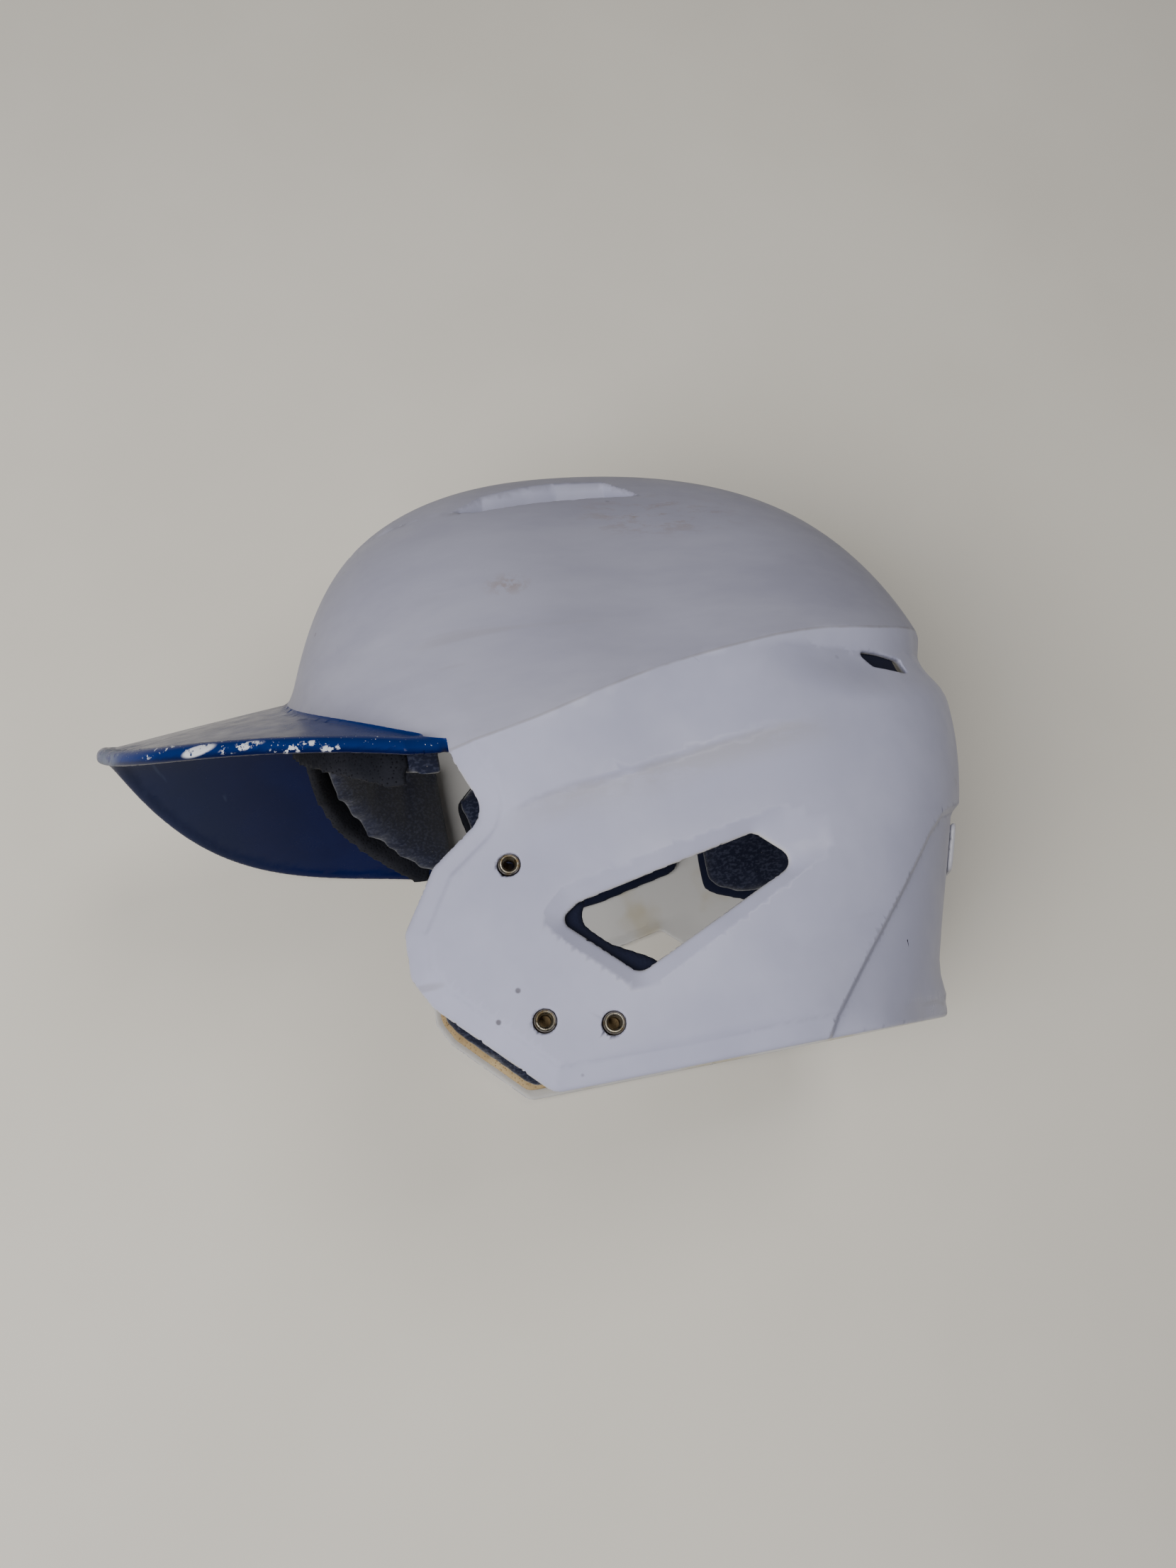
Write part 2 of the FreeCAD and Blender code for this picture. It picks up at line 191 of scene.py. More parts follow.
class SideOutline:
    """Signed distance in the side view to a closed outline, below zero inside, looked up in a table."""

    LOW, HIGH, PITCH = (-170.0, -40.0), (180.0, 230.0), 0.5

    def __init__(self, outline, corner):
        y = np.arange(self.LOW[0], self.HIGH[0] + self.PITCH, self.PITCH)[:, None]
        z = np.arange(self.LOW[1], self.HIGH[1] + self.PITCH, self.PITCH)[None, :]
        nearest = np.full((y.size, z.size), 1e9)
        inside = np.zeros((y.size, z.size), bool)
        points = rounded(outline, corner)
        for (y0, z0), (y1, z1) in zip(points, points[1:] + points[:1]):
            dy, dz = y1 - y0, z1 - z0
            part = np.clip(((y - y0) * dy + (z - z0) * dz) / (dy * dy + dz * dz), 0, 1)
            nearest = np.minimum(nearest, (y - y0 - part * dy) ** 2 + (z - z0 - part * dz) ** 2)
            if dz:
                inside ^= ((z0 > z) != (z1 > z)) & (y < dy * (z - z0) / dz + y0)
        self.table = np.where(inside, -1, 1) * np.sqrt(nearest)

    def __call__(self, y, z):
        u = np.clip((y - self.LOW[0]) / self.PITCH, 0, self.table.shape[0] - 1.001)
        v = np.clip((z - self.LOW[1]) / self.PITCH, 0, self.table.shape[1] - 1.001)
        i, j = u.astype(int), v.astype(int)
        u, v = u - i, v - j
        low = self.table[i, j] * (1 - u) + self.table[i + 1, j] * u
        high = self.table[i, j + 1] * (1 - u) + self.table[i + 1, j + 1] * u
        return low * (1 - v) + high * v


def ramp(value, low, high):
    """0 below low, 1 above high, and smooth between."""
    part = np.clip((value - low) / (high - low), 0, 1)
    return part * part * (3 - 2 * part)


def join(a, b, blend):
    """Both solids, with a fillet about as wide as blend where they meet."""
    near = np.maximum(blend - np.abs(a - b), 0) / blend
    return np.minimum(a, b) - near * near * blend / 4


def overlap(a, b, blend):
    """What both solids share, with its edges rounded."""
    return -join(-a, -b, blend)


def head_distance(x, y, z):
    """Distance outside the head form."""
    turn = np.arctan2(z - CENTRE_Z, y - CENTRE_Y) + math.pi / 2
    radius, slope = RADIUS(turn * 72 / math.tau)
    slope = slope * 72 / math.tau
    power = POWER(turn * 12 / math.tau)[0]
    along = np.hypot(y - CENTRE_Y, z - CENTRE_Z) / radius
    across = np.abs(x) / HALF_WIDTH
    gauge = (along**power + across**power) ** (1 / power) + 1e-9
    steep = (along / gauge) ** (power - 1) * np.sqrt(1 + (slope / radius) ** 2) / radius
    level = (across / gauge) ** (power - 1) / HALF_WIDTH
    return (gauge - 1) / np.hypot(steep, level)


outlines = {
    "ear_hole": SideOutline(EAR_HOLE, 3.5),
    "ear_frame": SideOutline(EAR_FRAME, 6),
    "channel": SideOutline(REAR_CHANNEL, 4),
    "rear_vent": SideOutline(REAR_VENT, 1.5),
    "top_slit": SideOutline(TOP_SLIT, 1),
    "face": SideOutline(FACE, 7),
}
crease_line = natural_spline(CREASE)
dome_edge = natural_spline(DOME_EDGE)


def ear_bevel(y, z):
    """Half the depth of the bevel around the ear hole: 0 at the frame's edge, deepest at the hole."""
    frame_edge = np.maximum(-outlines["ear_frame"](y, z), 0)
    hole_edge = np.maximum(outlines["ear_hole"](y, z), 0)
    return 1.5 * frame_edge / (frame_edge + hole_edge + 1e-6)


def flap_border(y, z):
    """Distance in from the flap's front and lower edges, and how much of a point is on the flap."""
    on_flap = (1 - ramp(y, 55, 80)) * (1 - ramp(z, 96, 112))
    return np.minimum(outlines["face"](y, z), z), on_flap


def steps(x, y, z):
    """How far the whole wall is moved in or out of the head form."""
    height = -STEP * ramp(-outlines["channel"](y, z), -1, 1)
    below = dome_edge(y) - z
    wide = 1.2 + 6.8 * ramp(y, 60, 108)
    deep = 0.3 + 3.7 * ramp(y, 66, 104)
    facet = np.clip(below / wide, 0, 1) * (1 - ramp(below - wide, 3, 20))
    height = height - deep * facet * ramp(y, -31, -20)
    scoop_top, scoop_low = np.interp(y, *np.transpose(SCOOP_TOP)), np.interp(y, *np.transpose(SCOOP_LOW))
    scoop = 0.75 * np.maximum(scoop_top - z, 0) * ramp(z - scoop_low, -0.8, 0.8)
    height = height - scoop
    height = height - ear_bevel(y, z)
    border, on_flap = flap_border(y, z)
    height = height - 1.3 * np.clip(1 - border / 6.5, 0, 1) * on_flap
    return height + 4 * (1 - ramp(z, 0, 18)) * ramp(y, 96, 118)


def relief(x, y, z):
    """Moulded detail of the outer face only."""
    border, on_flap = flap_border(y, z)
    height = -ear_bevel(y, z)
    height = height - 0.8 * (1 - ramp(border, 5.5, 7.5)) * on_flap
    height = height - 0.7 * (1 - ramp(z, 5.5, 7)) * ramp(y, 80, 100)
    below = crease_line(y) - z
    fade = ramp(y, -22, -10) * (1 - ramp(y, 40, 85))
    return height - 1.2 * ramp(below, -1, 1.5) * (1 - ramp(below, 6, 30)) * fade


def visor_top(x, y):
    """Height of the visor's top: a hyperbola across, deeper to the rear, falling slowly to the tip."""
    rear = np.clip((y + 125) / 96, 0, 1.2)
    arch = VISOR_ARCH + 20 * rear**2
    rise = (np.hypot(x, ARCH_CROWN) - ARCH_CROWN) / (math.hypot(VISOR_HALF, ARCH_CROWN) - ARCH_CROWN)
    return VISOR_TIP_Z + VISOR_SLOPE * (y - VISOR_TIP_Y) - arch * rise


def rim_distance(x, y):
    """Distance outside the visor's rim, in plan."""
    reach = VISOR_SIDE_Y - VISOR_TIP_Y
    u = np.abs(x) / (VISOR_HALF - np.maximum(y - VISOR_SIDE_Y, 0) * 4 / 11)
    v = np.maximum(VISOR_SIDE_Y - y, 0) / reach
    level = u**SIDE_POWER + v**FRONT_POWER
    across = SIDE_POWER * u ** (SIDE_POWER - 1) / VISOR_HALF
    ahead = FRONT_POWER * v ** (FRONT_POWER - 1) / reach
    return (level - 1) / np.maximum(np.hypot(across, ahead), 0.004)


def visor_distance(x, y, z):
    """The visor: a thin arched plate with a rolled bead along its rim."""
    x = np.abs(x)
    top = visor_top(x, y)
    lean = 0.6 * x / np.hypot(x, ARCH_CROWN)
    level = 1 / np.sqrt(1 + lean * lean)
    rim = rim_distance(x, y)
    plate = overlap((z - top) * level, (top - VISOR_THICK - z) * level, 0.5)
    plate = overlap(plate, rim + 0.6, 1.5)
    bead = np.hypot(rim + BEAD, (z - top - BEAD_PROUD + BEAD) * level) - BEAD
    both = join(plate, bead, 1.4)
    return overlap(both, y + 32, 2)


def shell_distance(x, y, z):
    """Signed distance to the whole moulding, below zero in the plastic."""
    head = head_distance(x, y, z) - steps(x, y, z)
    over_visor = ramp(z - visor_top(np.abs(x), y), -2, 6)
    solid = join(head - relief(x, y, z), visor_distance(x, y, z), 3 + 3 * over_visor)
    solid = overlap(solid, -(head + WALL), 0.8)
    opening = np.maximum(outlines["face"](y, z), z - visor_top(np.abs(x), y) + 4.6)
    solid = overlap(solid, -opening, 2.4)
    solid = overlap(solid, -outlines["ear_hole"](y, z), 1.2)
    solid = overlap(solid, -outlines["rear_vent"](y, z), 1)
    solid = overlap(solid, -outlines["top_slit"](y, z), 1)
    for nut_y, nut_z in T_NUTS.values():
        solid = overlap(solid, 3.25 - np.hypot(y - nut_y, z - nut_z), 0.6)
    return overlap(solid, -z, 1.4)


def gradient(distance, points, reach):
    """Steepest way out of a distance field at points."""
    columns = []
    for axis in range(3):
        offset = np.zeros(3)
        offset[axis] = reach
        columns.append((distance(*(points + offset).T) - distance(*(points - offset).T)) / (2 * reach))
    return np.stack(columns, 1)


def skin(distance, low, high, voxel, adaptivity):
    """The field's zero surface inside a box that is mirrored across X: points in mm and triangles."""
    x = np.arange(0, high[0] + voxel, voxel, dtype=np.float32)
    y = np.arange(low[1], high[1] + voxel, voxel, dtype=np.float32)
    z = np.arange(low[2], high[2] + voxel, voxel, dtype=np.float32)
    slabs = []
    for start in range(0, x.size, 12):
        slabs.append(distance(x[start:start + 12, None, None], y[None, :, None], z[None, None, :]))
    half = np.concatenate(slabs) / voxel
    values = np.clip(np.concatenate([half[:0:-1], half]), -3, 3).astype(np.float32)
    grid = openvdb.FloatGrid(3.0)
    grid.copyFromArray(np.ascontiguousarray(values))
    points, triangles, quads = grid.convertToPolygons(isovalue=0, adaptivity=adaptivity)
    points = points * voxel + np.array([-x[-1], y[0], z[0]])
    faces = np.concatenate([triangles, quads[:, [0, 1, 2]], quads[:, [0, 2, 3]]]).astype(np.int64)
    for _ in range(3):
        slope = gradient(distance, points, 0.06)
        off = distance(*points.T)
        size = np.maximum((slope * slope).sum(1), 0.3)
        move = slope * (off / size)[:, None]
        length = np.maximum(np.linalg.norm(move, axis=1), 1e-9)
        points = points - move * np.minimum(1, 0.5 * voxel / length)[:, None]
    normals = gradient(distance, points, 0.25)
    normals = normals / np.maximum(np.linalg.norm(normals, axis=1), 1e-9)[:, None]
    a, b, c = (points[faces[:, i]] for i in range(3))
    facing = (np.cross(b - a, c - a) * normals[faces[:, 0]]).sum()
    if facing < 0:
        faces = faces[:, ::-1]
    return points, normals, faces


def divide(points, normals, faces, side):
    """Cuts every triangle along side = 0 and returns the mesh with all faces, and which are below zero."""
    side = np.where(np.abs(side) < 1e-4, 1e-4, side)
    below = side[faces] < 0
    count = below.sum(1)
    whole = faces[(count == 0) | (count == 3)]
    crossing = faces[(count == 1) | (count == 2)]
    made = {}
    new_points, new_normals, new_faces = [], [], []

    def between(i, j):
        key = (min(i, j), max(i, j))
        if key not in made:
            part = side[key[0]] / (side[key[0]] - side[key[1]])
            made[key] = len(points) + len(new_points)
            new_points.append(points[key[0]] * (1 - part) + points[key[1]] * part)
            new_normals.append(normals[key[0]] * (1 - part) + normals[key[1]] * part)
        return made[key]

    labels = []
    for a, b, c in crossing.tolist():
        lows = [side[v] < 0 for v in (a, b, c)]
        alone = lows.index(sum(lows) == 1)
        a, b, c = ((a, b, c) * 2)[alone:alone + 3]
        ab, ca = between(a, b), between(c, a)
        new_faces += [(a, ab, ca), (ab, b, c), (ab, c, ca)]
        labels += [side[a] < 0, side[b] < 0, side[b] < 0]
    whole_below = side[whole[:, 0]] < 0
    points = np.concatenate([points, np.array(new_points).reshape(-1, 3)])
    normals = np.concatenate([normals, np.array(new_normals).reshape(-1, 3)])
    faces = np.concatenate([whole, np.array(new_faces, int).reshape(-1, 3)])
    return points, normals, faces, np.concatenate([whole_below, np.array(labels, bool)])


def mesh_piece(name, points, normals, faces, marks):
    """A smooth object from arrays in mm, with named values on its points."""
    used, inverse = np.unique(faces, return_inverse=True)
    faces = inverse.reshape(-1, 3)
    mesh = bpy.data.meshes.new(name)
    mesh.vertices.add(len(used))
    mesh.vertices.foreach_set("co", (points[used] * MM).ravel())
    mesh.loops.add(faces.size)
    mesh.loops.foreach_set("vertex_index", faces.ravel().astype(np.int32))
    mesh.polygons.add(len(faces))
    mesh.polygons.foreach_set("loop_start", (3 * np.arange(len(faces))).astype(np.int32))
    mesh.update(calc_edges=True)
    mesh.validate()
    mesh.shade_smooth()
    for mark, values in marks.items():
        layer = mesh.attributes.new(mark, "FLOAT", "POINT")
        layer.data.foreach_set("value", values[used].astype(np.float32))
    mesh.normals_split_custom_set_from_vertices(normals[used])
    piece = bpy.data.objects.new(name, mesh)
    bpy.context.scene.collection.objects.link(piece)
    return piece


class Paint:
    """A node material, built by short calls. Every method returns the socket it makes."""

    def __init__(self, name, **settings):
        self.material = bpy.data.materials.new(name)
        self.material.use_nodes = True
        self.nodes = self.material.node_tree.nodes
        self.links = self.material.node_tree.links
        self.shader = self.nodes["Principled BSDF"]
        self.set(**settings)
        self.place = self.nodes.new("ShaderNodeTexCoord").outputs["Object"]

    def set(self, **settings):
        for key, value in settings.items():
            socket = self.shader.inputs[key.replace("_", " ")]
            if isinstance(value, bpy.types.NodeSocket):
                self.links.new(value, socket)
            else:
                socket.default_value = (*value, 1) if isinstance(value, tuple) and len(value) == 3 else value

    def feed(self, socket, value):
        if isinstance(value, bpy.types.NodeSocket):
            self.links.new(value, socket)
        elif isinstance(value, tuple) and len(value) == 3 and socket.type == "RGBA":
            socket.default_value = (*value, 1)
        else:
            socket.default_value = value

    def mark(self, name):
        node = self.nodes.new("ShaderNodeAttribute")
        node.attribute_name = name
        return node.outputs["Fac"]

    def moved(self, scale=(1, 1, 1), shift=(0, 0, 0), turn=(0, 0, 0)):
        node = self.nodes.new("ShaderNodeMapping")
        node.inputs["Scale"].default_value = scale
        node.inputs["Location"].default_value = shift
        node.inputs["Rotation"].default_value = turn
        self.links.new(self.place, node.inputs["Vector"])
        return node.outputs["Vector"]

    def noise(self, scale, detail=3, rough=0.55, place=None, distortion=0.0):
        node = self.nodes.new("ShaderNodeTexNoise")
        node.inputs["Scale"].default_value = scale
        node.inputs["Detail"].default_value = detail
        node.inputs["Roughness"].default_value = rough
        node.inputs["Distortion"].default_value = distortion
        self.links.new(place or self.place, node.inputs["Vector"])
        return node.outputs["Fac"]

    def cells(self, scale, feature="F1", place=None, spread=1.0):
        node = self.nodes.new("ShaderNodeTexVoronoi")
        node.feature = feature
        node.inputs["Scale"].default_value = scale
        node.inputs["Randomness"].default_value = spread
        self.links.new(place or self.place, node.inputs["Vector"])
        return node.outputs["Distance"]

    def span(self, value, low, high, bottom=0.0, top=1.0, smooth=True):
        node = self.nodes.new("ShaderNodeMapRange")
        node.interpolation_type = "SMOOTHSTEP" if smooth else "LINEAR"
        for key, number in (("From Min", low), ("From Max", high), ("To Min", bottom), ("To Max", top)):
            node.inputs[key].default_value = number
        self.feed(node.inputs["Value"], value)
        return node.outputs["Result"]

    def sum(self, operation, first, second=0.0):
        node = self.nodes.new("ShaderNodeMath")
        node.operation = operation
        self.feed(node.inputs[0], first)
        self.feed(node.inputs[1], second)
        return node.outputs[0]

    def product(self, *values):
        result = values[0]
        for value in values[1:]:
            result = self.sum("MULTIPLY", result, value)
        return result

    def largest(self, *values):
        result = values[0]
        for value in values[1:]:
            result = self.sum("MAXIMUM", result, value)
        return result

    def mix(self, part, first, second):
        node = self.nodes.new("ShaderNodeMix")
        node.data_type = "RGBA"
        self.feed(node.inputs[0], part)
        self.feed(node.inputs[6], first)
        self.feed(node.inputs[7], second)
        return node.outputs[2]

    def curve(self, value, line, low, high, floor, top):
        """line(value) for a value between low and high, with results between floor and top."""
        node = self.nodes.new("ShaderNodeFloatCurve")
        points = node.mapping.curves[0].points
        count = 14
        for i in range(count + 1):
            part = i / count
            level = (float(line(low + part * (high - low))) - floor) / (top - floor)
            if i == 0:
                points[0].location = (part, level)
            elif i == count:
                points[-1].location = (part, level)
            else:
                points.new(part, level)
        node.mapping.update()
        self.links.new(self.span(value, low * MM, high * MM, smooth=False), node.inputs["Value"])
        return self.span(node.outputs["Value"], 0, 1, floor * MM, top * MM, False)

    def axes(self):
        node = self.nodes.new("ShaderNodeSeparateXYZ")
        self.links.new(self.place, node.inputs[0])
        return node.outputs

    def spot(self, centre, size, soft=1.0):
        """1 inside an ellipsoid (metres), falling to 0 at its edge."""
        node = self.nodes.new("ShaderNodeVectorMath")
        node.operation = "SUBTRACT"
        self.links.new(self.place, node.inputs[0])
        node.inputs[1].default_value = centre
        scaled = self.nodes.new("ShaderNodeVectorMath")
        scaled.operation = "DIVIDE"
        self.links.new(node.outputs[0], scaled.inputs[0])
        scaled.inputs[1].default_value = size
        length = self.nodes.new("ShaderNodeVectorMath")
        length.operation = "LENGTH"
        self.links.new(scaled.outputs[0], length.inputs[0])
        return self.span(length.outputs["Value"], 1, 1 - soft)

    def bump(self, height, strength, distance, under=None):
        node = self.nodes.new("ShaderNodeBump")
        node.inputs["Strength"].default_value = strength
        node.inputs["Distance"].default_value = distance
        self.links.new(height, node.inputs["Height"])
        if under is not None:
            self.links.new(under, node.inputs["Normal"])
        return node.outputs["Normal"]


def body_plastic():
    """Matte white moulding: a greyer dome, painted shade and dirt along the crease, specks, scuffs and glue
    stains inside.
    """
    paint = Paint("shell_white", Specular_IOR_Level=0.40, Coat_Weight=0.05, Coat_Roughness=0.25)
    _, along, height = paint.axes()
    inside = paint.mark("inner")
    above = paint.sum("SUBTRACT", height, paint.curve(along, dome_edge, -31, 137, 95, 135))
    behind = paint.span(along, -0.0312, -0.0305)
    front = paint.product(paint.sum("SUBTRACT", 1.0, behind), paint.span(height, 0.0995, 0.1005))
    on_dome = paint.largest(paint.span(above, -0.0004, 0.0004), front)
    on_dome = paint.product(on_dome, paint.sum("SUBTRACT", 1.0, paint.mark("scoop")))
    cloud = paint.noise(22, 4, 0.6)
    base = paint.mix(paint.span(cloud, 0.35, 0.7), PANEL_WHITE[0], PANEL_WHITE[1])
    film = paint.span(paint.noise(16, 5, 0.62, paint.moved((1, 0.45, 1.6))), 0.32, 0.66)
    dome = paint.mix(film, DOME_GREY[0], DOME_GREY[1])
    base = paint.mix(on_dome, base, dome)
    # Painted shade and dirt: the band just below the crease is darkened to grey in patches.
    crease_shade_and_dirt_patches = paint.span(paint.noise(70, 5, 0.7, paint.moved((1, 0.5, 1.5))), 0.30, 0.62)
    base = paint.mix(paint.product(paint.mark("crease"), crease_shade_and_dirt_patches, 0.45), base, (0.30, 0.285, 0.29))
    line = paint.product(
        paint.span(above, -0.0007, -0.0002),
        paint.span(above, 0.0006, 0.0001),
        behind,
        paint.span(paint.noise(55, 3, 0.6), 0.25, 0.6),
    )
    base = paint.mix(paint.product(line, 0.5), base, (0.22, 0.205, 0.21))
    specks = paint.product(
        paint.span(paint.cells(95), 0.10, 0.05),
        paint.span(paint.noise(14, 2), 0.56, 0.66),
    )
    scuff = paint.product(
        paint.spot((0.066, 0.052, 0.178), (0.035, 0.040, 0.016)),
        paint.span(paint.noise(150, 5, 0.75, paint.moved((1, 0.5, 1.4))), 0.48, 0.62),
    )
    low_scuff = paint.product(
        paint.spot((0.093, -0.005, 0.150), (0.03, 0.010, 0.006)),
        paint.span(paint.noise(190, 4, 0.7), 0.46, 0.58),
    )
    long_marks = paint.product(
        paint.span(paint.noise(38, 2, 0.4, paint.moved((1, 0.16, 3.2), turn=(0.35, 0, 0))), 0.68, 0.73),
        paint.span(paint.noise(9, 2), 0.46, 0.60),
    )
    base = paint.mix(paint.product(paint.largest(scuff, low_scuff), 0.7), base, (0.24, 0.19, 0.17))
    base = paint.mix(paint.product(specks, 0.8), base, (0.09, 0.08, 0.09))
    base = paint.mix(paint.product(long_marks, 0.45), base, (0.26, 0.25, 0.29))
    glue = paint.product(inside, paint.span(paint.noise(30, 3, 0.5), 0.50, 0.64))
    lining = paint.mix(paint.product(glue, 0.55), (0.52, 0.51, 0.50), (0.40, 0.34, 0.20))
    base = paint.mix(inside, base, lining)
    rough = paint.span(paint.noise(90, 4, 0.6), 0.3, 0.7, 0.36, 0.50, False)
    rough = paint.sum("ADD", rough, paint.product(on_dome, 0.14))
    rough = paint.sum("ADD", rough, paint.product(paint.mark("edge"), -0.10))
    grain = paint.bump(paint.noise(1500, 2, 0.5), 0.10, 0.00008)
    soft = paint.bump(paint.noise(28, 3, 0.5), 0.12, 0.0006, grain)
    paint.set(Base_Color=base, Roughness=rough, Normal=soft)
    return paint.material


def visor_paint():
    """Gloss blue paint, chipped along the rim down to the pale plastic and grey with wear at the tip. The
    underside is a darker copy of the blue as painted shade, greyish toward the front as a painted
    reflection, and a paler line along the bead is a painted highlight.
    """
    paint = Paint("visor_blue", Specular_IOR_Level=0.12)
    rim = paint.mark("rim")
    upper = paint.mark("upper")
    bead = paint.mark("bead")
    cloud = paint.noise(30, 3, 0.5)
    blue = paint.mix(paint.span(cloud, 0.35, 0.7), (0.0022, 0.017, 0.115), (0.0032, 0.023, 0.145))
    front_reflection_mask = paint.span(paint.axes()[1], -0.075, -0.145)
    # Painted shade: the underside takes a darker copy of the blue. Toward the front it turns greyish as a
    # painted reflection.
    under = paint.mix(paint.span(cloud, 0.35, 0.7), (0.0008, 0.004, 0.040), (0.0014, 0.006, 0.055))
    under = paint.mix(paint.product(front_reflection_mask, 0.55), under, (0.020, 0.028, 0.060))
    blue = paint.mix(upper, under, blue)
    ragged = paint.noise(420, 4, 0.65)
    fine = paint.noise(900, 3, 0.6)
    chips = []
    for centre, size, least in CHIPS:
        chips.append(paint.product(paint.spot(centre, size, 0.35), paint.span(ragged, least, least + 0.04)))
    specks = paint.product(paint.span(rim, 1.3, 0.9), paint.span(fine, 0.66, 0.69))
    chip = paint.largest(specks, *chips)
    tip = paint.product(paint.spot(WORN_TIP[0], WORN_TIP[1], 0.6), paint.span(ragged, 0.42, 0.52))
    # Painted highlight: a paler blue line, broken by noise, along the top edge of the bead.
    edge = paint.product(bead, paint.span(paint.noise(60, 3, 0.6), 0.42, 0.6))
    colour = paint.mix(paint.product(edge, 0.5), blue, (0.11, 0.16, 0.30))
    colour = paint.mix(chip, colour, (0.60, 0.61, 0.66))
    colour = paint.mix(paint.product(tip, 0.75), colour, (0.20, 0.22, 0.27))
    scratches = paint.span(
        paint.noise(55, 2, 0.5, paint.moved((0.25, 3.0, 1), turn=(0, 0, 0.5))), 0.70, 0.74)
    colour = paint.mix(paint.product(scratches, 0.10), colour, (0.12, 0.16, 0.26))
    rough = paint.span(paint.noise(120, 4, 0.6), 0.3, 0.7, 0.17, 0.30, False)
    rough = paint.sum("ADD", rough, paint.product(paint.largest(chip, tip), 0.35))
    height = paint.sum("SUBTRACT", 1.0, chip)
    chipped = paint.bump(height, 0.6, 0.00015)
    soft = paint.bump(paint.noise(40, 2, 0.5), 0.08, 0.0006, chipped)
    paint.set(Base_Color=colour, Roughness=rough, Normal=soft)
    return paint.material


def comfort_fabric():
    """Dark navy knitted cover of the comfort pads, a little faded where it is rubbed."""
    paint = Paint("pad_fabric", Specular_IOR_Level=0.25, Sheen_Weight=0.35, Sheen_Roughness=0.5)
    weave_a = paint.noise(900, 2, 0.5, paint.moved((1, 0.35, 1)))
    weave_b = paint.noise(900, 2, 0.5, paint.moved((0.35, 1, 1.4)))
    knit = paint.sum("ADD", weave_a, weave_b)
    faded = paint.span(paint.noise(35, 4, 0.6), 0.45, 0.75)
    base = paint.mix(faded, (0.009, 0.011, 0.026), (0.022, 0.026, 0.050))
    base = paint.mix(paint.span(knit, 0.95, 1.2), base, (0.030, 0.034, 0.060))
    lint = paint.product(paint.span(paint.cells(300), 0.09, 0.05), paint.span(paint.noise(40, 2), 0.5, 0.6))
    base = paint.mix(paint.product(lint, 0.35), base, (0.25, 0.24, 0.23))
    paint.set(Base_Color=base, Roughness=paint.span(knit, 0.7, 1.3, 0.95, 0.75, False),
              Normal=paint.bump(knit, 0.5, 0.0004))
    return paint.material


def base_foam(name, dark, light, pore):
    """Closed-cell foam with fine pores and soiled patches, under the cover's edge beside the ear."""
    paint = Paint(name, Specular_IOR_Level=0.3)
    pores = paint.cells(900)
    cloud = paint.noise(45, 4, 0.6)
    base = paint.mix(paint.span(cloud, 0.3, 0.7), dark, light)
    base = paint.mix(paint.span(pores, 0.35, 0.15), base, pore)
    _, along, height = paint.axes()
    wrapped = paint.product(paint.span(along, -0.024, -0.018), paint.span(height, 0.020, 0.026))
    base = paint.mix(wrapped, base, (0.010, 0.012, 0.028))
    paint.set(Base_Color=base, Roughness=paint.span(cloud, 0.3, 0.7, 0.78, 0.92, False),
              Normal=paint.bump(pores, 0.5, 0.0003))
    return paint.material


def nut_metal():
    """Worn nickel plate with brass showing through and dirt in the thread."""
    paint = Paint("nut_nickel", Metallic=1.0, Specular_IOR_Level=0.5)
    wear = paint.noise(420, 4, 0.65)
    base = paint.mix(paint.span(wear, 0.46, 0.62), (0.46, 0.42, 0.34), (0.34, 0.25, 0.13))
    grime = paint.span(paint.noise(700, 3, 0.6), 0.56, 0.68)
    base = paint.mix(paint.product(grime, 0.75), base, (0.05, 0.04, 0.03))
    rough = paint.span(wear, 0.3, 0.7, 0.26, 0.50, False)
    paint.set(Base_Color=base, Roughness=rough, Normal=paint.bump(wear, 0.25, 0.0001))
    return paint.material


def badge_plastic():
    """Semi-gloss pale plate, brushed along its length."""
    paint = Paint("badge_pale", Specular_IOR_Level=0.5, Coat_Weight=0.2, Coat_Roughness=0.12)
    streak = paint.noise(160, 3, 0.6, paint.moved((0.12, 0.12, 1)))
    base = paint.mix(paint.span(streak, 0.3, 0.7), (0.54, 0.54, 0.60), (0.62, 0.62, 0.68))
    rough = paint.span(paint.noise(80, 3), 0.3, 0.7, 0.28, 0.42, False)
    paint.set(Base_Color=base, Roughness=rough, Normal=paint.bump(streak, 0.08, 0.0001))
    return paint.material


MATERIALS = {
    "shell_plastic": body_plastic(),
    "visor": visor_paint(),
    "comfort_fabric": comfort_fabric(),
    "base_foam": base_foam("foam_dark", (0.012, 0.013, 0.018), (0.022, 0.023, 0.030), (0.006, 0.006, 0.009)),
    "jaw_foam": base_foam("foam_tan", (0.36, 0.25, 0.13), (0.50, 0.37, 0.20), (0.24, 0.16, 0.085)),
    "nut_steel": nut_metal(),
    "badge_plastic": badge_plastic(),
}


def finish_piece(piece, nodes, slot, material=None):
    """Gives a piece the material named by its slot, puts it on the root body and hides the CAD nodes that it
    stands for.
    """
    piece.data.materials.clear()
    piece.data.materials.append(MATERIALS[material or slot])
    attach(piece, "root")
    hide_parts(*nodes)
    return piece


